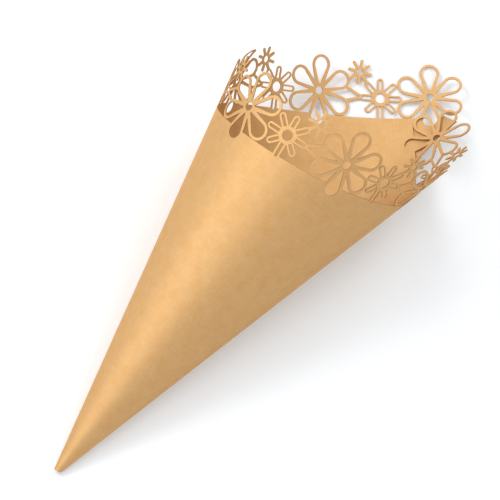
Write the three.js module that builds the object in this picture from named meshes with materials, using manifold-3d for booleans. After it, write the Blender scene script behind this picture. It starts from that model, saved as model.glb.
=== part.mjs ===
import * as THREE from "three";
import * as BufferGeometryUtils from "three/addons/utils/BufferGeometryUtils.js";
import Module from "manifold-3d";

const wasm = await Module();
wasm.setup();

// A paper cone rolled from one sheet of thin card. The flat sheet is a corner of about ninety degrees
// with its tip snipped off and a straight line of cut lace along the side across from the tip. Rolling
// it up makes a cone with a slanted mouth, highest where the two end edges overlap. It lies on its side
// with the tip towards -X and the mouth towards +X.

// Driving dimensions, millimetres and degrees
const CARD_REACH = 135; // from the sheet's corner to the line where the lace starts
const CARD_THICKNESS = 0.35;
const LAYER_GAP = 0.1; // between the two layers where the ends overlap
const HALF_ANGLE = 13.6; // between the cone's axis and its side, on average
const OVAL_ANGLE = 1.02; // how far that angle grows and shrinks twice a turn
const OVAL_AT = -43.3;
const LOBE_ANGLE = 0.28; // and three times a turn
const LOBE_AT = -55.2;
const OUTER_EDGE = -46.75; // the sheet's two end edges, as angles on the flat sheet
const INNER_EDGE = 42.2;
const LACE_FOOT_AT = 162.5; // where round the cone the lace line comes nearest to the tip

// The lace repeats every PITCH. Its sizes below are shares of it.
const FLOWER_COUNT = 7;
const PITCH = CARD_REACH * 0.3005;
const MIDDLE_FLOWER_X = -PITCH * 0.219;
const FLOWER_Y = CARD_REACH + PITCH * 0.2035; // centre, on the flat sheet
const PETAL_COUNT = 6;
const PETAL_HOLE_FAR = PITCH * 0.229; // centre of the hole's round end
const PETAL_HOLE_FAR_R = PITCH * 0.0625;
const PETAL_HOLE_NEAR = PITCH * 0.068;
const PETAL_HOLE_NEAR_R = PITCH * 0.0075;
const STRAND = PITCH * 0.024;
const PETAL_ROOT = PITCH * 0.09; // where neighbouring strands run together
const PETAL_ROOT_R = PITCH * 0.048;
const FLOWER_EYE_R = PITCH * 0.035;

const SUN_X = PITCH * 0.437; // from the flower before it
const SUN_RISE = PITCH * 0.185; // above the lace line
const SUN_Y = CARD_REACH + SUN_RISE;
const SUN_RING_R = PITCH * 0.075;
const SUN_EYE_R = PITCH * 0.045;
const RAY_WIDTH = PITCH * 0.058;
const RAY_STRAND = PITCH * 0.0155;
const RAY_COUNT = 8;
const RAY_REACH = PITCH * 0.18; // a free ray
const LONG_RAY_REACH = PITCH * 0.192; // a ray that meets the flower before it
const TIE_X = PITCH * 0.158; // where the two ties to the next flower start, from the sun's centre
const TIE_HALF_SPREAD = PITCH * 0.06;

const DAISY_X = PITCH * 0.624;
const DAISY_Y = CARD_REACH + PITCH * 0.4055;
const DAISY_RING_R = PITCH * 0.05;
const DAISY_EYE_R = PITCH * 0.029;
const DAISY_PETAL_COUNT = 8;
const DAISY_PETAL_REACH = PITCH * 0.113;
const DAISY_PETAL_WIDTH = PITCH * 0.027;
const DAISY_TURN = 9;

const TIP_CUT = CARD_REACH * 0.039; // the straight snip at the tip, from the sheet's corner
const SNIP_ALONG = 8; // the snipped upper corner at the outer layer's end, along the lace line
const SNIP_DOWN = 3.2; // and down the end edge

// How finely round things are cut
const FACET_ANGLE = 10;
const FIRST_ANGLE = -45;
const FACET_COUNT = 39;
const ROUND_STEPS = 9;
const EYE_STEPS = 10;
const SMALL_ROUND_STEPS = 3;
const STRAIGHT = CARD_THICKNESS / 700; // a corner that bends the outline by less than this is left out
const SAME_POINT = CARD_THICKNESS / 350; // two corners nearer than this are one
const SHEET_RADIUS = CARD_REACH * 3; // reaches past every corner of the flat sheet

const degToRad = THREE.MathUtils.degToRad;

function arcPoints(x, y, radius, from, sweep, steps) {
  const points = [];
  for (let i = 0; i <= steps; i += 1) {
    const angle = from + (sweep * i) / steps;
    points.push(new THREE.Vector2(x + radius * Math.cos(angle), y + radius * Math.sin(angle)));
  }
  return points;
}

// A straight-sided drop: two circles on a line from (x, y) along an angle, with the lines that touch both
function dropPoints(x, y, angle, near, nearR, far, farR, steps) {
  const slope = Math.asin((farR - nearR) / (far - near));
  const quarter = Math.PI / 2;
  const cos = Math.cos(angle);
  const sin = Math.sin(angle);
  const farSweep = Math.PI + 2 * slope;
  const nearSweep = Math.PI - 2 * slope;
  const tip = arcPoints(x + far * cos, y + far * sin, farR, angle - quarter - slope, farSweep, steps);
  const root = arcPoints(x + near * cos, y + near * sin, nearR, angle + quarter + slope, nearSweep, 1);
  return tip.concat(root);
}

function roundPoints(x, y, radius, steps) {
  return arcPoints(x, y, radius, 0, 2 * Math.PI, steps).slice(0, -1);
}

// A straight bar from one point to another, round at its far end
function barPoints(x, y, angle, from, to, width, steps) {
  const half = width / 2;
  const quarter = Math.PI / 2;
  const cos = Math.cos(angle);
  const sin = Math.sin(angle);
  const end = to - half;
  const tip = arcPoints(x + end * cos, y + end * sin, half, angle - quarter, Math.PI, steps);
  const startLeft = new THREE.Vector2(x + from * cos - half * sin, y + from * sin + half * cos);
  const startRight = new THREE.Vector2(x + from * cos + half * sin, y + from * sin - half * cos);
  return tip.concat([startLeft, startRight]);
}

function solidFromGeometry(geometry) {
  const bare = geometry.clone();
  bare.deleteAttribute("normal");
  bare.deleteAttribute("uv");
  const merged = BufferGeometryUtils.mergeVertices(bare);
  const vertProperties = new Float32Array(merged.attributes.position.array);
  const triVerts = new Uint32Array(merged.index.array);
  return new wasm.Manifold(new wasm.Mesh({ numProp: 3, vertProperties, triVerts }));
}

function slab(points) {
  const options = { depth: CARD_THICKNESS, bevelEnabled: false };
  return solidFromGeometry(new THREE.ExtrudeGeometry(new THREE.Shape(points), options));
}

function joinAll(outlines) {
  return outlines.map(slab).reduce((whole, piece) => whole.add(piece));
}

function petalAngles() {
  const angles = [];
  for (let i = 0; i < PETAL_COUNT; i += 1) {
    angles.push(-Math.PI / 2 + (i * 2 * Math.PI) / PETAL_COUNT);
  }
  return angles;
}

function flowerOutlines(x) {
  const farR = PETAL_HOLE_FAR_R + STRAND;
  const petal = (angle) =>
    dropPoints(x, FLOWER_Y, angle, PETAL_ROOT, PETAL_ROOT_R, PETAL_HOLE_FAR, farR, ROUND_STEPS);
  const hub = roundPoints(x, FLOWER_Y, PETAL_ROOT, EYE_STEPS);
  return petalAngles().map(petal).concat([hub]);
}

function flowerHoles(x) {
  const hole = (angle) =>
    dropPoints(x, FLOWER_Y, angle, PETAL_HOLE_NEAR, PETAL_HOLE_NEAR_R, PETAL_HOLE_FAR,
      PETAL_HOLE_FAR_R, ROUND_STEPS);
  return petalAngles().map(hole).concat([roundPoints(x, FLOWER_Y, FLOWER_EYE_R, EYE_STEPS)]);
}

// The reach of each ray, counted anticlockwise from the one that points to the next flower
function rayReaches() {
  const toCard = SUN_RISE + RAY_WIDTH / 2;
  const toNext = TIE_X + STRAND;
  return [
    toNext, LONG_RAY_REACH, RAY_REACH, LONG_RAY_REACH, LONG_RAY_REACH, RAY_REACH, toCard, RAY_REACH,
  ];
}

function rayOutlines(x, from, inset, steps) {
  const ray = (reach, i) => {
    const angle = (i * 2 * Math.PI) / RAY_COUNT;
    return barPoints(x, SUN_Y, angle, from, reach - inset, RAY_WIDTH - 2 * inset, steps);
  };
  return rayReaches().map(ray);
}

// Two ties run from the sun's ray to the petals of the next flower
function tieOutlines(x) {
  const start = new THREE.Vector2(x + TIE_X, SUN_Y);
  const nextX = x - SUN_X + PITCH;
  return [1, -1].map((side) => {
    const petalX = nextX - (PETAL_HOLE_FAR + PETAL_HOLE_FAR_R) * Math.cos(Math.PI / PETAL_COUNT);
    const end = new THREE.Vector2(petalX, FLOWER_Y + side * TIE_HALF_SPREAD);
    const run = end.clone().sub(start);
    return barPoints(start.x, start.y, run.angle(), -STRAND / 2, run.length(), STRAND, 1);
  });
}

function daisyOutlines(x) {
  const outlines = [roundPoints(x, DAISY_Y, DAISY_RING_R, EYE_STEPS)];
  for (let i = 0; i < DAISY_PETAL_COUNT; i += 1) {
    const angle = degToRad(DAISY_TURN) + (i * 2 * Math.PI) / DAISY_PETAL_COUNT;
    outlines.push(
      barPoints(x, DAISY_Y, angle, DAISY_EYE_R, DAISY_PETAL_REACH, DAISY_PETAL_WIDTH,
        SMALL_ROUND_STEPS),
    );
  }
  return outlines;
}

// The plain card below the lace: straight on the lace line, with an arc at the snipped tip
function cardOutline() {
  const leftSlope = Math.tan(degToRad(OUTER_EDGE));
  const rightSlope = Math.tan(degToRad(INNER_EDGE));
  const snipY = CARD_REACH - SNIP_DOWN;
  return [
    new THREE.Vector2(CARD_REACH * rightSlope, CARD_REACH),
    new THREE.Vector2(CARD_REACH * leftSlope + SNIP_ALONG, CARD_REACH),
    new THREE.Vector2(snipY * leftSlope, snipY),
    new THREE.Vector2(TIP_CUT * leftSlope, TIP_CUT),
    new THREE.Vector2(TIP_CUT * rightSlope, TIP_CUT),
  ];
}

function flatPattern() {
  let solid = slab(cardOutline());
  let holes = null;
  for (let i = 0; i < FLOWER_COUNT; i += 1) {
    const flowerX = MIDDLE_FLOWER_X + (i - (FLOWER_COUNT - 1) / 2) * PITCH;
    solid = solid.add(joinAll(flowerOutlines(flowerX)));
    const cuts = joinAll(flowerHoles(flowerX));
    holes = holes ? holes.add(cuts) : cuts;
    if (i < FLOWER_COUNT - 1) {
      const sunX = flowerX + SUN_X;
      const daisyX = flowerX + DAISY_X;
      const ring = roundPoints(sunX, SUN_Y, SUN_RING_R, 2 * RAY_COUNT);
      const rays = rayOutlines(sunX, SUN_EYE_R, 0, SMALL_ROUND_STEPS);
      const rayHoles = rayOutlines(sunX, SUN_RING_R, RAY_STRAND, SMALL_ROUND_STEPS - 1);
      const eyes = [
        roundPoints(sunX, SUN_Y, SUN_EYE_R, EYE_STEPS),
        roundPoints(daisyX, DAISY_Y, DAISY_EYE_R, EYE_STEPS - 2),
      ];
      solid = solid.add(joinAll([ring, ...rays, ...tieOutlines(sunX), ...daisyOutlines(daisyX)]));
      holes = holes.add(joinAll([...rayHoles, ...eyes]));
    }
  }
  return solid.subtract(holes);
}

// The closed outlines of a slab's upper face
function upperLoops(solid) {
  const mesh = solid.getMesh();
  const point = (i) => new THREE.Vector3().fromArray(mesh.vertProperties, i * mesh.numProp);
  const triangles = [];
  for (let t = 0; t < mesh.triVerts.length; t += 3) {
    const corners = [...mesh.triVerts.slice(t, t + 3)];
    if (corners.every((i) => point(i).z > CARD_THICKNESS / 2)) {
      triangles.push(corners);
    }
  }
  const follow = new Map(openEdges(triangles));
  const loops = [];
  while (follow.size > 0) {
    const loop = [];
    let at = follow.keys().next().value;
    while (follow.has(at)) {
      const to = follow.get(at);
      follow.delete(at);
      const corner = point(at);
      loop.push(new THREE.Vector2(corner.x, corner.y));
      at = to;
    }
    loops.push(withoutStraightPoints(loop));
  }
  return loops;
}

// The edges that only one triangle has, each as its two ends in that triangle's order
function openEdges(triangles) {
  const edges = new Map();
  triangles.forEach((triangle) => {
    triangle.forEach((a, i) => {
      const b = triangle[(i + 1) % 3];
      if (!edges.delete(`${b}/${a}`)) {
        edges.set(`${a}/${b}`, [a, b]);
      }
    });
  });
  return [...edges.values()];
}

function withoutStraightPoints(loop) {
  return loop.filter((corner, i) => {
    const before = corner.clone().sub(loop[(i + loop.length - 1) % loop.length]);
    const after = loop[(i + 1) % loop.length].clone().sub(corner);
    const bend = Math.abs(before.cross(after)) / Math.max(before.length(), after.length());
    return bend > STRAIGHT;
  });
}

function isInside(point, loop) {
  let inside = false;
  loop.forEach((a, i) => {
    const b = loop[(i + 1) % loop.length];
    const crosses = a.y > point.y !== b.y > point.y;
    if (crosses && point.x < a.x + ((point.y - a.y) * (b.x - a.x)) / (b.y - a.y)) {
      inside = !inside;
    }
  });
  return inside;
}

// The flat sheet as triangles that share their corners, with a fold along every ruling
function flatTriangles(rulings) {
  const pattern = flatPattern();
  const sheet = { points: [], triangles: [] };
  for (let i = 0; i < rulings.length - 1; i += 1) {
    const loops = upperLoops(pattern.intersect(wedge(rulings[i].flat, rulings[i + 1].flat)));
    const holes = loops.filter((loop) => THREE.ShapeUtils.isClockWise(loop));
    loops.filter((loop) => !THREE.ShapeUtils.isClockWise(loop)).forEach((outer) => {
      const inner = holes.filter((hole) => isInside(hole[0], outer));
      const shared = [outer, ...inner].flat().map((point) => sharedPoint(sheet.points, point));
      THREE.ShapeUtils.triangulateShape(outer, inner).forEach((triangle) => {
        sheet.triangles.push(triangle.map((corner) => shared[corner]));
      });
    });
  }
  return sheet;
}

function sharedPoint(points, point) {
  const found = points.findIndex((other) => other.distanceTo(point) < SAME_POINT);
  return found < 0 ? points.push(point) - 1 : found;
}

// The slice of the flat sheet between two rulings, taller than the pattern's slabs
function wedge(from, to) {
  const at = (flat) => new THREE.Vector2(SHEET_RADIUS * Math.sin(flat), SHEET_RADIUS * Math.cos(flat));
  const outline = new THREE.Shape([new THREE.Vector2(0, 0), at(to), at(from)]);
  const options = { depth: 3 * CARD_THICKNESS, bevelEnabled: false };
  return solidFromGeometry(new THREE.ExtrudeGeometry(outline, options).translate(0, 0, -CARD_THICKNESS));
}

// The straight line on the cone at one angle round it, counted from the line that it lies on
function rulingDirection(turn) {
  const twice = OVAL_ANGLE * Math.cos(2 * degToRad(turn - OVAL_AT));
  const thrice = LOBE_ANGLE * Math.cos(3 * degToRad(turn - LOBE_AT));
  const lean = degToRad(HALF_ANGLE + twice + thrice);
  const around = degToRad(turn);
  const out = Math.sin(lean);
  return new THREE.Vector3(Math.cos(lean), out * Math.sin(around), -out * Math.cos(around));
}

// The folds between the cone's flat facets, with their place on the flat sheet
function makeRulings() {
  const rulings = [];
  let flat = 0;
  for (let i = 0; i <= FACET_COUNT; i += 1) {
    const turn = FIRST_ANGLE + i * FACET_ANGLE;
    const direction = rulingDirection(turn);
    if (i > 0) {
      flat += rulings[i - 1].direction.angleTo(direction);
    }
    rulings.push({ turn, direction, flat });
  }
  const foot = (LACE_FOOT_AT - FIRST_ANGLE) / FACET_ANGLE;
  const before = rulings[Math.floor(foot)];
  const after = rulings[Math.floor(foot) + 1];
  const footFlat = THREE.MathUtils.lerp(before.flat, after.flat, foot - Math.floor(foot));
  rulings.forEach((ruling, i) => {
    ruling.flat -= footFlat;
    ruling.sink = sinkAt(ruling.turn);
    ruling.offset = foldOffset(rulings, i);
  });
  return rulings;
}

function facetNormal(rulings, i) {
  const facet = THREE.MathUtils.clamp(i, 0, rulings.length - 2);
  return rulings[facet + 1].direction.clone().cross(rulings[facet].direction).normalize();
}

// A step of one along this vector moves a fold one millimetre off both of its facets
function foldOffset(rulings, i) {
  const before = facetNormal(rulings, i - 1);
  const after = facetNormal(rulings, i);
  return before.clone().add(after).divideScalar(1 + before.dot(after));
}

// The inner end of the sheet sits one layer further in, and comes back out over a few facets
function sinkAt(turn) {
  const overlapStart = FIRST_ANGLE + 360;
  const easeTurns = 3 * FACET_ANGLE;
  const share = THREE.MathUtils.clamp((turn - overlapStart + easeTurns) / easeTurns, 0, 1);
  return share * (CARD_THICKNESS + LAYER_GAP);
}

function bendPoint(point, depth, rulings) {
  const angle = Math.atan2(point.x, point.y);
  const last = rulings.length - 2;
  const found = rulings.findIndex((ruling) => ruling.flat > angle) - 1;
  const i = found < 0 ? last : THREE.MathUtils.clamp(found, 0, last);
  const [from, to] = [rulings[i], rulings[i + 1]];
  const span = Math.sin(to.flat - from.flat);
  const reach = point.length();
  const alongFrom = (reach * Math.sin(to.flat - angle)) / span;
  const alongTo = (reach * Math.sin(angle - from.flat)) / span;
  const share = alongTo / (alongFrom + alongTo);
  return new THREE.Vector3()
    .addScaledVector(from.direction, alongFrom)
    .addScaledVector(to.direction, alongTo)
    .addScaledVector(from.offset, -(1 - share) * (from.sink + depth))
    .addScaledVector(to.offset, -share * (to.sink + depth));
}

// The bent sheet as one closed skin: its outer face, its inner face and the cut edges between them
function bentSheet() {
  const rulings = makeRulings();
  const sheet = flatTriangles(rulings);
  const count = sheet.points.length;
  const positions = [0, CARD_THICKNESS].flatMap((depth) =>
    sheet.points.flatMap((point) => bendPoint(point, depth, rulings).toArray()));
  const index = sheet.triangles.flatMap(([a, b, c]) => [a, b, c, a + count, c + count, b + count]);
  openEdges(sheet.triangles).forEach(([a, b]) => {
    index.push(b, a, a + count, b, a + count, b + count);
  });
  const geometry = new THREE.BufferGeometry();
  geometry.setAttribute("position", new THREE.Float32BufferAttribute(positions, 3));
  geometry.setIndex(index);
  return layOnSide(geometry, rulings);
}

// Turns the facet at angle zero flat on the ground and centres the cone over the origin
function layOnSide(geometry, rulings) {
  const below = rulings.findIndex((ruling) => ruling.turn > 0);
  const up = facetNormal(rulings, below - 1).negate();
  const along = rulings[below].direction.clone().add(rulings[below - 1].direction).normalize();
  const across = up.clone().cross(along);
  geometry.applyMatrix4(new THREE.Matrix4().makeBasis(along, across, up).transpose());
  geometry.computeBoundingBox();
  const middle = geometry.boundingBox.getCenter(new THREE.Vector3());
  geometry.translate(-middle.x, -middle.y, 0);
  geometry.computeVertexNormals();
  return geometry;
}

function makeCone() {
  const goldCard = new THREE.MeshStandardMaterial({ color: 0xd9a86b, roughness: 0.45, metalness: 0.2 });
  const cone = new THREE.Mesh(bentSheet(), goldCard);
  cone.name = "card_cone";
  return cone;
}

const part = new THREE.Group();
part.add(makeCone());

export default part;
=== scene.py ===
"""A confetti cone rolled from one sheet of gold satin card, with a cut flower lace along its mouth.

The sheet is drawn flat, in millimetres, as one card outline, the outlines of the lace and the holes cut
in it. It is then rolled: every point of the flat sheet keeps its distance from the sheet's corner and its
angle there, and goes to the line on the cone that has the same angle.
"""

import math

import bpy
import numpy as np
from mathutils import Matrix, Vector
from mathutils.geometry import delaunay_2d_cdt


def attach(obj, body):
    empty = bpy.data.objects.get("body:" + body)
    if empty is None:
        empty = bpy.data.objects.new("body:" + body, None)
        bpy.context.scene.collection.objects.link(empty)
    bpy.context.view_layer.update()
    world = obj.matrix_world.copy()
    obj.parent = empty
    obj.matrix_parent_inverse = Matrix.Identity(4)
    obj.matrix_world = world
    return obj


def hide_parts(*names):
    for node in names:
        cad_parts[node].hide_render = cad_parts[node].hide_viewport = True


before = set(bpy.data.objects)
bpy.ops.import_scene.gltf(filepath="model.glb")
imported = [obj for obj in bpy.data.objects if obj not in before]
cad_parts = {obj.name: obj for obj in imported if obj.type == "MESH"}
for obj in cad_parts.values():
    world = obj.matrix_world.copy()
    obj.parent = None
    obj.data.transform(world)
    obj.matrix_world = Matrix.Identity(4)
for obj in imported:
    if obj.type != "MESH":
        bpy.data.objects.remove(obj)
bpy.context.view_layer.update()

MM = 0.001
CONE_NODE = "card_cone"

# The flat sheet, in millimetres and degrees
CARD_REACH = 135.0
CARD_THICKNESS = 0.35
TIP_CUT = 5.265
SNIP_ALONG = 8.0
SNIP_DOWN = 3.2
OUTER_EDGE = -46.75
INNER_EDGE = 42.2

# The cone, in degrees: its half angle changes twice and three times in a turn. The line from the sheet's
# corner that is square to the lace lies at the foot's turn.
HALF_ANGLE = 13.6
OVAL_ANGLE = 1.02
OVAL_AT = -43.3
LOBE_ANGLE = 0.28
LOBE_AT = -55.2
LACE_FOOT_AT = 162.5

# The overlap: between two turns the inner layer sinks in, in millimetres, and its lace sinks further
LAYER_SINK = 0.75
LACE_SINK = 0.8
SINK_START = 270.0
SINK_END = 318.0

# The lace, as shares of the distance from one large flower to the next
PITCH = CARD_REACH * 0.3005
FLOWERS = 7
MIDDLE_FLOWER_X = -0.219 * PITCH
FLOWER_Y = CARD_REACH + 0.2035 * PITCH
PETALS = 6
PETAL_HOLE_FAR = 0.229 * PITCH
PETAL_HOLE_FAR_R = 0.0625 * PITCH
PETAL_HOLE_NEAR = 0.068 * PITCH
PETAL_HOLE_NEAR_R = 0.0075 * PITCH
STRAND = 0.024 * PITCH
PETAL_ROOT = 0.09 * PITCH
PETAL_ROOT_R = 0.048 * PITCH
FLOWER_EYE_R = 0.035 * PITCH

SUN_X = 0.437 * PITCH
SUN_RISE = 0.185 * PITCH
SUN_Y = CARD_REACH + SUN_RISE
SUN_RING_R = 0.075 * PITCH
SUN_EYE_R = 0.045 * PITCH
RAYS = 8
RAY_WIDTH = 0.058 * PITCH
RAY_STRAND = 0.0155 * PITCH
RAY_REACH = 0.18 * PITCH
LONG_RAY_REACH = 0.192 * PITCH
TIE_X = 0.158 * PITCH
TIE_HALF_SPREAD = 0.06 * PITCH

DAISY_X = 0.624 * PITCH
DAISY_Y = CARD_REACH + 0.4055 * PITCH
DAISY_RING_R = 0.05 * PITCH
DAISY_EYE_R = 0.029 * PITCH
DAISY_PETALS = 8
DAISY_PETAL_REACH = 0.113 * PITCH
DAISY_PETAL_WIDTH = 0.027 * PITCH
DAISY_TURN = 9.0

# A top petal that curls in, in millimetres from its flower's middle: a flower is counted from 0 and has
# the angle in radians that its tip turns through
CURL_START = 5.5
CURL_LENGTH = 7.35
CURL_HALF_WIDTH = 4.0
CURLS = ((2, 0.75),)

# How far out on the sheet the lace's own sink is whole
LACE_SINK_END = FLOWER_Y + 4.0

# How finely the sheet is divided
OUTLINE_STEP = 0.7
GRID_ANGLE = 0.7
GRID_ROWS = 74
GRID_CROWDING = 1.3
ROUND_STEPS = 22
SMALL_ROUND_STEPS = 8
TIE_ROUND_STEPS = 4
CUT_TOLERANCE = 1e-5
ALL_TRIANGLES = 0
CREASE_ANGLE = 40.0

# How finely the cone's turns are worked through, in degrees
TURN_RANGE = (-90.0, 450.0)
TURN_STEPS = 5401
TURN_NUDGE = 0.01

TAU = 2 * math.pi


def arc(x, y, radius, start, sweep, steps):
    """Points at (x, y) + radius (cos a, sin a), for a from start over sweep in equal steps."""
    a = start + sweep * np.arange(steps + 1) / steps
    return np.column_stack([x + radius * np.cos(a), y + radius * np.sin(a)])


def disc(x, y, radius, steps):
    """A full circle, without its last point again."""
    return arc(x, y, radius, 0.0, TAU, steps)[:-1]


def drop(x, y, angle, near, near_r, far, far_r, steps):
    """Two circles at distances near and far from (x, y) along angle, and the lines that touch both."""
    slope = math.asin((far_r - near_r) / (far - near))
    cos, sin = math.cos(angle), math.sin(angle)
    start = angle - TAU / 4 - slope
    tip = arc(x + far * cos, y + far * sin, far_r, start, TAU / 2 + 2 * slope, steps)
    start = angle + TAU / 4 + slope
    root_steps = SMALL_ROUND_STEPS // 2
    root = arc(x + near * cos, y + near * sin, near_r, start, TAU / 2 - 2 * slope, root_steps)
    return np.vstack([tip, root])


def bar(x, y, angle, start, end, width, steps):
    """A straight bar along angle, from start to end, square at its start and round at its end."""
    half = width / 2
    along = np.array([math.cos(angle), math.sin(angle)])
    left = np.array([-along[1], along[0]])
    centre = np.array([x, y])
    tip = arc(*(centre + (end - half) * along), half, angle - TAU / 4, TAU / 2, steps)
    square = centre + start * along + np.array([half * left, -half * left])
    return np.vstack([tip, square])


def flower(x):
    """The outlines of a large flower's petals and hub, and the holes in them."""
    petal = (PETAL_ROOT, PETAL_ROOT_R, PETAL_HOLE_FAR, PETAL_HOLE_FAR_R + STRAND)
    hole = (PETAL_HOLE_NEAR, PETAL_HOLE_NEAR_R, PETAL_HOLE_FAR, PETAL_HOLE_FAR_R)
    angles = -TAU / 4 + TAU * np.arange(PETALS) / PETALS
    solid = [drop(x, FLOWER_Y, angle, *petal, ROUND_STEPS) for angle in angles]
    solid.append(disc(x, FLOWER_Y, PETAL_ROOT, ROUND_STEPS))
    holes = [drop(x, FLOWER_Y, angle, *hole, ROUND_STEPS) for angle in angles]
    holes.append(disc(x, FLOWER_Y, FLOWER_EYE_R, ROUND_STEPS))
    return solid, holes


def sun(x):
    """A ring with eight open rays: one runs down to the card and one ends where two ties start."""
    reaches = [RAY_REACH] * RAYS
    reaches[0] = TIE_X + STRAND
    reaches[1] = reaches[3] = reaches[4] = LONG_RAY_REACH
    reaches[6] = SUN_RISE + RAY_WIDTH / 2
    angles = TAU * np.arange(RAYS) / RAYS
    solid = [disc(x, SUN_Y, SUN_RING_R, ROUND_STEPS)]
    holes = [disc(x, SUN_Y, SUN_EYE_R, ROUND_STEPS)]
    for angle, reach in zip(angles, reaches):
        solid.append(bar(x, SUN_Y, angle, SUN_EYE_R, reach, RAY_WIDTH, SMALL_ROUND_STEPS))
        slot = (SUN_RING_R, reach - RAY_STRAND, RAY_WIDTH - 2 * RAY_STRAND)
        holes.append(bar(x, SUN_Y, angle, *slot, SMALL_ROUND_STEPS))
    return solid + ties(x), holes


def ties(x):
    """Two bars from the sun's ray to the petals of the next flower."""
    petal_x = x - SUN_X + PITCH - (PETAL_HOLE_FAR + PETAL_HOLE_FAR_R) * math.cos(TAU / 2 / PETALS)
    bars = []
    for side in (1, -1):
        dx = petal_x - x - TIE_X
        dy = FLOWER_Y + side * TIE_HALF_SPREAD - SUN_Y
        strip = (-STRAND / 2, math.hypot(dx, dy), STRAND)
        bars.append(bar(x + TIE_X, SUN_Y, math.atan2(dy, dx), *strip, TIE_ROUND_STEPS))
    return bars


def daisy(x):
    """A small ring with eight narrow solid petals."""
    petal = (DAISY_EYE_R, DAISY_PETAL_REACH, DAISY_PETAL_WIDTH)
    solid = [disc(x, DAISY_Y, DAISY_RING_R, ROUND_STEPS)]
    for angle in math.radians(DAISY_TURN) + TAU * np.arange(DAISY_PETALS) / DAISY_PETALS:
        solid.append(bar(x, DAISY_Y, angle, *petal, SMALL_ROUND_STEPS))
    return solid, [disc(x, DAISY_Y, DAISY_EYE_R, ROUND_STEPS)]


def card():
    """The plain card: a straight lace line and end edges, and snips at an upper corner and the tip."""
    left, right = math.radians(OUTER_EDGE), math.radians(INNER_EDGE)
    low = CARD_REACH - SNIP_DOWN
    corner = [CARD_REACH * math.tan(left) + SNIP_ALONG, CARD_REACH]
    line = [[CARD_REACH * math.tan(right), CARD_REACH], corner, [low * math.tan(left), low]]
    tip = [[TIP_CUT * math.tan(left), TIP_CUT], [TIP_CUT * math.tan(right), TIP_CUT]]
    return np.array(line + tip)


def with_short_edges(outline):
    """The same closed outline with points added, so that no edge is longer than OUTLINE_STEP."""
    closed = np.vstack([outline, outline[:1]])
    run = np.concatenate([[0.0], np.cumsum(np.hypot(*np.diff(closed, axis=0).T))])
    parts = np.maximum(1, np.ceil(np.diff(run) / OUTLINE_STEP)).astype(int)
    first = np.concatenate([[0], np.cumsum(parts)[:-1]])
    edge = np.repeat(np.arange(len(parts)), parts)
    share = (np.arange(parts.sum()) - first[edge]) / parts[edge]
    return closed[edge] + share[:, None] * (closed[edge + 1] - closed[edge])


def pattern():
    """All outlines of the sheet that are card, and all that are holes."""
    solid, holes = [card()], []
    for i in range(FLOWERS):
        x = MIDDLE_FLOWER_X + (i - (FLOWERS - 1) / 2) * PITCH
        groups = [flower(x)]
        if i < FLOWERS - 1:
            groups += [sun(x + SUN_X), daisy(x + DAISY_X)]
        for group_solid, group_holes in groups:
            solid += group_solid
            holes += group_holes
    return solid, holes


def grid_points():
    """Points at equal angles on rings round the sheet's corner, closer together towards the tip."""
    share = np.linspace(0.0, 1.0, GRID_ROWS)[1:-1]
    longest = CARD_REACH / math.cos(math.radians(OUTER_EDGE))
    reach = TIP_CUT + (longest - TIP_CUT) * share**GRID_CROWDING
    angle = np.radians(np.arange(OUTER_EDGE + GRID_ANGLE / 2, INNER_EDGE, GRID_ANGLE))
    r, a = (g.ravel() for g in np.meshgrid(reach, angle))
    y = r * np.cos(a)
    inside = (y > TIP_CUT + OUTLINE_STEP / 2) & (y < CARD_REACH - OUTLINE_STEP / 2)
    return np.column_stack([r * np.sin(a), y])[inside]


def flat_sheet():
    """The flat sheet as points and triangles: what lies in a card outline and in no hole."""
    solid, holes = pattern()
    outlines = [with_short_edges(o) for o in solid + holes]
    sizes = np.array([len(o) for o in outlines])
    starts = np.concatenate([[0], np.cumsum(sizes)])
    loops = [list(range(a, b)) for a, b in zip(starts[:-1], starts[1:])]
    points = np.vstack(outlines + [grid_points()])
    places = [Vector(p) for p in points]
    made, _, faces, _, _, sources = delaunay_2d_cdt(places, [], loops, ALL_TRIANGLES, CUT_TOLERANCE)
    kept = [f for f, s in zip(faces, sources) if s and max(s) < len(solid)]
    used, triangles = np.unique(np.array(kept), return_inverse=True)
    return np.array([tuple(p) for p in made])[used], triangles.reshape(-1, 3)


def ruling(turn):
    """Unit vector along the cone's side at a turn in degrees: x is the axis and turn 0 is underneath."""
    t = np.asarray(turn, float)
    oval = OVAL_ANGLE * np.cos(2 * np.radians(t - OVAL_AT))
    lobe = LOBE_ANGLE * np.cos(3 * np.radians(t - LOBE_AT))
    lean = np.radians(HALF_ANGLE + oval + lobe)
    r = np.radians(t)
    return np.stack([np.cos(lean), np.sin(lean) * np.sin(r), -np.sin(lean) * np.cos(r)], axis=-1)


def outward(turn):
    """Unit vector off the cone's side: the cross product of the ruling's change with the ruling."""
    change = ruling(np.asarray(turn) + TURN_NUDGE) - ruling(np.asarray(turn) - TURN_NUDGE)
    normal = np.cross(change, ruling(turn))
    return normal / np.linalg.norm(normal, axis=-1, keepdims=True)


def turn_of(angle):
    """The turn whose ruling has this angle on the flat sheet: the angles between rulings, added up."""
    turns = np.linspace(*TURN_RANGE, TURN_STEPS)
    steps = np.linalg.norm(np.diff(ruling(turns), axis=0), axis=1)
    flat = np.concatenate([[0.0], np.cumsum(steps)])
    flat -= np.interp(LACE_FOOT_AT, turns, flat)
    return np.interp(angle, flat, turns)


def smooth_step(value, low, high):
    """0 below low, 1 above high, and 3 s^2 - 2 s^3 between."""
    s = np.clip((value - low) / (high - low), 0.0, 1.0)
    return s * s * (3 - 2 * s)


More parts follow.
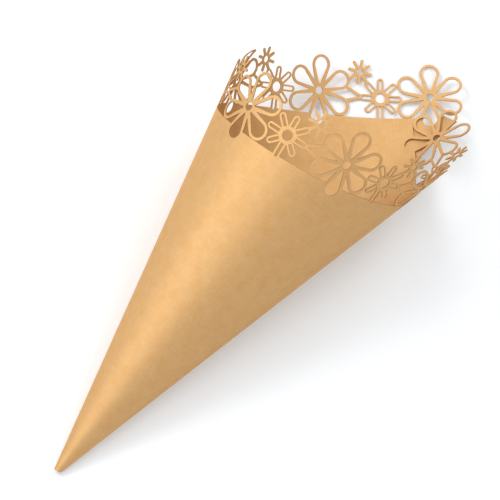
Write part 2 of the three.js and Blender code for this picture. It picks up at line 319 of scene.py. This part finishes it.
def curled(points, depth):
    """Flat places and depths after the curls: past its start, a petal follows a circle that turns in."""
    y, deep = points[:, 1].copy(), depth.copy()
    start = FLOWER_Y + CURL_START
    for flower_index, angle in CURLS:
        x = MIDDLE_FLOWER_X + (flower_index - (FLOWERS - 1) / 2) * PITCH
        petal = (np.abs(points[:, 0] - x) < CURL_HALF_WIDTH) & (points[:, 1] > start)
        radius = CURL_LENGTH / angle
        turned = (points[petal, 1] - start) / radius
        y[petal] = start + (radius - depth[petal]) * np.sin(turned)
        deep[petal] = radius - (radius - depth[petal]) * np.cos(turned)
    return np.column_stack([points[:, 0], y]), deep


def rolled(flat, flat_depth):
    """Flat points rolled into the cone, at a depth in millimetres in from its outer face."""
    points, depth = curled(flat, flat_depth)
    reach = np.hypot(points[:, 0], points[:, 1])
    turn = turn_of(np.arctan2(points[:, 0], points[:, 1]))
    inner = smooth_step(turn, SINK_START, SINK_END)
    sink = inner * (LAYER_SINK + LACE_SINK * smooth_step(points[:, 1], CARD_REACH, LACE_SINK_END))
    return reach[:, None] * ruling(turn) - (sink + depth)[:, None] * outward(turn)


def lying_frame():
    """Rows: the ruling underneath, the direction across it, and up, in the cone's own axes."""
    up = -outward(0.0)
    along = ruling(0.0)
    return np.stack([along, np.cross(up, along), up])


def centre_shift(points):
    """What moves the cone's box centre over the origin, and leaves its height as it is."""
    middle = (points.min(axis=0) + points.max(axis=0)) / 2
    return np.array([-middle[0], -middle[1], 0.0])


def open_edges(triangles):
    """The directed edges that only one triangle has."""
    edges = np.vstack([triangles[:, [0, 1]], triangles[:, [1, 2]], triangles[:, [2, 0]]])
    either_way = np.sort(edges, axis=1)
    _, inverse, counts = np.unique(either_way, axis=0, return_inverse=True, return_counts=True)
    return edges[counts[inverse.ravel()] == 1]


def cone_arrays():
    """Points in metres, outer and inner faces, cut walls, and each point's place on the flat sheet."""
    flat, triangles = flat_sheet()
    count = len(flat)
    outer = rolled(flat, np.zeros(count)) @ lying_frame().T
    inner = rolled(flat, np.full(count, CARD_THICKNESS)) @ lying_frame().T
    points = np.vstack([outer, inner])
    shift = centre_shift(points)
    faces = np.vstack([triangles, triangles[:, ::-1] + count])
    a, b = open_edges(triangles).T
    walls = np.column_stack([b, a, a + count, b + count])
    return (points + shift) * MM, faces, walls, flat, shift


# The card's faces: the sizes of the clouds and fibres in metres, drawn coarse enough to show, the part of
# each noise's range that is used, and the dark and light colour that it runs between
CLOUD_SIZE = 0.004
CLOUD_DETAIL = 3.0
CLOUD_LIMITS = (0.3, 0.7)
CLOUD_COLOURS = ("#C89B63", "#CFA776")
FIBRE_LENGTH = 0.004
FIBRE_WIDTH = 0.0006
FIBRE_DETAIL = 2.0
FIBRE_LIMITS = (0.6, 1.4)
FIBRE_COLOURS = ("#C39965", "#D3AB78")
FIBRE_SHARE = 0.5
FIBRE_RELIEF = 0.00004
FIBRE_STRENGTH = 0.25
PEARL_METALLIC = 0.55
PEARL_ROUGHNESS = 0.53
PEARL_SPECULAR = 0.25
PEARL_TINT = "#F2CF9C"
FLAT_MAP = "flat_sheet"

# The card's cut edge
SCORCH_SIZE = 1 / 700
SCORCH_DETAIL = 3.0
SCORCH_COLOURS = ("#8F6034", "#AB7A45")
EDGE_ROUGHNESS = 0.75

# The first and second colour of a Mix node, and what it gives
FIRST_COLOUR = 6
SECOND_COLOUR = 7
MIXED_COLOUR = 2


def linear(hex_colour):
    """An sRGB hex colour as the linear red, green, blue and alpha that a shader takes."""
    parts = np.array([int(hex_colour[i : i + 2], 16) for i in (1, 3, 5)]) / 255
    values = np.where(parts <= 0.04045, parts / 12.92, ((parts + 0.055) / 1.055) ** 2.4)
    return (*values.tolist(), 1.0)


def add_node(tree, kind, inputs=None, **settings):
    """A node with its settings, and each input given a value or the socket that it takes."""
    node = tree.nodes.new(kind)
    for name, value in settings.items():
        setattr(node, name, value)
    for name, value in (inputs or {}).items():
        if isinstance(value, bpy.types.NodeSocket):
            tree.links.new(value, node.inputs[name])
        else:
            node.inputs[name].default_value = value
    return node


def new_material(name):
    """An empty node material and its output node."""
    material = bpy.data.materials.new(name)
    material.use_nodes = True
    material.node_tree.nodes.clear()
    output = material.node_tree.nodes.new("ShaderNodeOutputMaterial")
    return material, material.node_tree, output


def pearl_card_material():
    """Gold pearl card, coated and pressed: a soft broad sheen, cloudy colour and fine paper fibres."""
    material, tree, output = new_material("gold_pearl_card")
    place = add_node(tree, "ShaderNodeTexCoord").outputs["Object"]
    sheet = add_node(tree, "ShaderNodeUVMap", uv_map=FLAT_MAP).outputs["UV"]

    noise = {"Vector": place, "Scale": 1 / CLOUD_SIZE, "Detail": CLOUD_DETAIL}
    cloud = add_node(tree, "ShaderNodeTexNoise", noise).outputs["Fac"]
    fibres = []
    for size in ((FIBRE_LENGTH, FIBRE_WIDTH), (FIBRE_WIDTH, FIBRE_LENGTH)):
        drawn = {"Vector": sheet, "Scale": (1 / size[0], 1 / size[1], 1.0)}
        stretched = add_node(tree, "ShaderNodeMapping", drawn).outputs["Vector"]
        noise = {"Vector": stretched, "Scale": 1.0, "Detail": FIBRE_DETAIL}
        fibres.append(add_node(tree, "ShaderNodeTexNoise", noise).outputs["Fac"])
    crossed = dict(enumerate(fibres))
    grain = add_node(tree, "ShaderNodeMath", crossed, operation="ADD").outputs["Value"]

    layers = []
    for value, limits, colours in (
        (cloud, CLOUD_LIMITS, CLOUD_COLOURS),
        (grain, FIBRE_LIMITS, FIBRE_COLOURS),
    ):
        used = {"Value": value, "From Min": limits[0], "From Max": limits[1]}
        share = add_node(tree, "ShaderNodeMapRange", used).outputs["Result"]
        dark, light = (linear(colour) for colour in colours)
        ends = {"Factor": share, FIRST_COLOUR: dark, SECOND_COLOUR: light}
        layers.append(add_node(tree, "ShaderNodeMix", ends, data_type="RGBA").outputs[MIXED_COLOUR])
    both = {"Factor": FIBRE_SHARE, FIRST_COLOUR: layers[0], SECOND_COLOUR: layers[1]}
    colour = add_node(tree, "ShaderNodeMix", both, data_type="RGBA").outputs[MIXED_COLOUR]

    relief = {"Strength": FIBRE_STRENGTH, "Distance": FIBRE_RELIEF, "Height": grain}
    surface = {
        "Base Color": colour,
        "Metallic": PEARL_METALLIC,
        "Roughness": PEARL_ROUGHNESS,
        "Specular IOR Level": PEARL_SPECULAR,
        "Specular Tint": linear(PEARL_TINT),
        "Normal": add_node(tree, "ShaderNodeBump", relief).outputs["Normal"],
    }
    shader = add_node(tree, "ShaderNodeBsdfPrincipled", surface)
    tree.links.new(shader.outputs[0], output.inputs["Surface"])
    return material


def cut_edge_material():
    """Card cut with a hot beam: its core is matt, unevenly toasted and browner than its faces."""
    material, tree, output = new_material("cut_card_edge")
    place = add_node(tree, "ShaderNodeTexCoord").outputs["Object"]
    noise = {"Vector": place, "Scale": 1 / SCORCH_SIZE, "Detail": SCORCH_DETAIL}
    scorch = add_node(tree, "ShaderNodeTexNoise", noise).outputs["Fac"]
    dark, light = (linear(colour) for colour in SCORCH_COLOURS)
    ends = {"Factor": scorch, FIRST_COLOUR: dark, SECOND_COLOUR: light}
    colour = add_node(tree, "ShaderNodeMix", ends, data_type="RGBA").outputs[MIXED_COLOUR]
    surface = {"Base Color": colour, "Roughness": EDGE_ROUGHNESS}
    shader = add_node(tree, "ShaderNodeBsdfPrincipled", surface)
    tree.links.new(shader.outputs[0], output.inputs["Surface"])
    return material


def make_cone():
    """The rolled sheet as one closed mesh, with its faces in pearl card and its cut walls browner."""
    points, faces, walls, flat, shift = cone_arrays()
    mesh = bpy.data.meshes.new("rolled_card")
    mesh.from_pydata(points.tolist(), [], faces.tolist() + walls.tolist())
    mesh.materials.append(pearl_card_material())
    mesh.materials.append(cut_edge_material())
    kinds = np.concatenate([np.zeros(len(faces), np.int32), np.ones(len(walls), np.int32)])
    mesh.polygons.foreach_set("material_index", kinds)
    mesh.polygons.foreach_set("use_smooth", np.ones(len(kinds), bool))
    layer = mesh.uv_layers.new(name=FLAT_MAP)
    corners = np.zeros(len(mesh.loops), np.int32)
    mesh.loops.foreach_get("vertex_index", corners)
    layer.data.foreach_set("uv", (flat[corners % len(flat)] * MM).ravel().astype(np.float32))
    mesh.update()
    mesh.set_sharp_from_angle(angle=math.radians(CREASE_ANGLE))
    piece = bpy.data.objects.new("rolled_card", mesh)
    bpy.context.scene.collection.objects.link(piece)
    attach(piece, "root")
    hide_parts(CONE_NODE)
    return shift


# The floor, in metres. It keeps its shade near the cone and is plain white past the fade.
FLOOR_HALF = 3.0
FLOOR_DROP = 0.0002
PAPER_COLOUR = "#F7FBFF"
WHITE = "#FFFFFF"
WHITE_STRENGTH = 1.0
FLOOR_SHADE_KEPT = 0.9
FADE_START = 0.2
FADE_END = 0.55


def seen_or_mirrored(tree):
    """1 for what the camera sees, straight or in a mirroring or clear surface, else 0."""
    path = add_node(tree, "ShaderNodeLightPath")
    direct = {0: path.outputs["Is Camera Ray"], 1: path.outputs["Is Glossy Ray"]}
    straight = add_node(tree, "ShaderNodeMath", direct, operation="MAXIMUM")
    through = {0: straight.outputs[0], 1: path.outputs["Is Transmission Ray"]}
    return add_node(tree, "ShaderNodeMath", through, operation="MAXIMUM").outputs[0]


def floor_material():
    """Bright white paper, very slightly blue. Near the cone the picture keeps most of its shade."""
    material, tree, output = new_material("white_backdrop_paper")
    paper = add_node(tree, "ShaderNodeBsdfDiffuse", {"Color": linear(PAPER_COLOUR)})
    white = add_node(tree, "ShaderNodeEmission", {"Color": linear(WHITE), "Strength": WHITE_STRENGTH})
    place = add_node(tree, "ShaderNodeTexCoord").outputs["Object"]
    far = add_node(tree, "ShaderNodeVectorMath", {0: place}, operation="LENGTH")
    fade = {
        "Value": far.outputs["Value"],
        "From Min": FADE_START,
        "From Max": FADE_END,
        "To Min": 1 - FLOOR_SHADE_KEPT,
    }
    plain = add_node(tree, "ShaderNodeMapRange", fade, interpolation_type="SMOOTHSTEP")
    shares = {0: seen_or_mirrored(tree), 1: plain.outputs["Result"]}
    seen = add_node(tree, "ShaderNodeMath", shares, operation="MULTIPLY")
    parts = {0: seen.outputs[0], 1: paper.outputs[0], 2: white.outputs[0]}
    mix = add_node(tree, "ShaderNodeMixShader", parts)
    tree.links.new(mix.outputs[0], output.inputs["Surface"])
    return material


def make_floor():
    """A wide flat sheet just under the cone."""
    mesh = bpy.data.meshes.new("floor")
    h = FLOOR_HALF
    mesh.from_pydata([(-h, -h, 0), (h, -h, 0), (h, h, 0), (-h, h, 0)], [], [(0, 1, 2, 3)])
    mesh.materials.append(floor_material())
    floor = bpy.data.objects.new("floor", mesh)
    floor.location.z = -FLOOR_DROP
    bpy.context.scene.collection.objects.link(floor)


# The camera: its place from the sheet's corner, its lens and its sensor in millimetres, its angles in
# degrees, and how near and far it sees in metres
CAMERA_FROM_CORNER = (-174.46, -22.71, 935.69)
CAMERA_HEADING = 85.55
CAMERA_DOWN = 73.15
CAMERA_ROLL = 35.87
LENS = 203.39
SENSOR = 36.0
CLIP_RANGE = (0.01, 50.0)

# The lamps: where each one shines from, its distance and side in metres, and its power in watts
LAMPS = {
    "key": ((-0.08, 1.0, 1.0), 1.2, 0.45, 6.4),
    "side": ((-0.6, 0.17, 0.85), 1.0, 1.1, 4.1),
    "mouth": ((1.0, -0.1, 0.9), 1.2, 0.7, 4.4),
}
AROUND_STRENGTH = 0.5


def make_camera(shift):
    """Looks along its heading, clockwise from +Y, and down, and is then rolled about its view."""
    heading, down, roll = (math.radians(a) for a in (CAMERA_HEADING, CAMERA_DOWN, CAMERA_ROLL))
    data = bpy.data.cameras.new("camera")
    data.sensor_width = SENSOR
    data.lens = LENS
    data.clip_start, data.clip_end = CLIP_RANGE
    camera = bpy.data.objects.new("camera", data)
    turned = Matrix.Rotation(-heading, 4, "Z") @ Matrix.Rotation(TAU / 4 - down, 4, "X")
    rolled_view = turned @ Matrix.Rotation(roll, 4, "Z")
    place = (np.array(CAMERA_FROM_CORNER) + shift) * MM
    camera.matrix_world = Matrix.Translation(Vector(place)) @ rolled_view
    bpy.context.scene.collection.objects.link(camera)
    bpy.context.scene.camera = camera


def make_lamp(name, towards, distance, size, power):
    """A square white lamp that shines on the cone from a direction."""
    data = bpy.data.lights.new(name, "AREA")
    data.size = size
    data.energy = power
    lamp = bpy.data.objects.new(name, data)
    direction = Vector(towards).normalized()
    lamp.location = direction * distance
    lamp.rotation_euler = direction.to_track_quat("Z", "Y").to_euler()
    bpy.context.scene.collection.objects.link(lamp)


def make_world():
    """Plain soft light from all round, and white where the camera sees past the floor."""
    world = bpy.data.worlds.new("studio")
    world.use_nodes = True
    tree = world.node_tree
    tree.nodes.clear()
    white = linear(WHITE)
    around = add_node(tree, "ShaderNodeBackground", {"Color": white, "Strength": AROUND_STRENGTH})
    seen = add_node(tree, "ShaderNodeBackground", {"Color": white, "Strength": WHITE_STRENGTH})
    parts = {0: seen_or_mirrored(tree), 1: around.outputs[0], 2: seen.outputs[0]}
    mix = add_node(tree, "ShaderNodeMixShader", parts)
    output = tree.nodes.new("ShaderNodeOutputWorld")
    tree.links.new(mix.outputs[0], output.inputs["Surface"])
    bpy.context.scene.world = world


corner_shift = make_cone()
make_floor()
make_camera(corner_shift)
for lamp_name, lamp_values in LAMPS.items():
    make_lamp(lamp_name, *lamp_values)
make_world()
bpy.context.scene.view_settings.view_transform = "Standard"
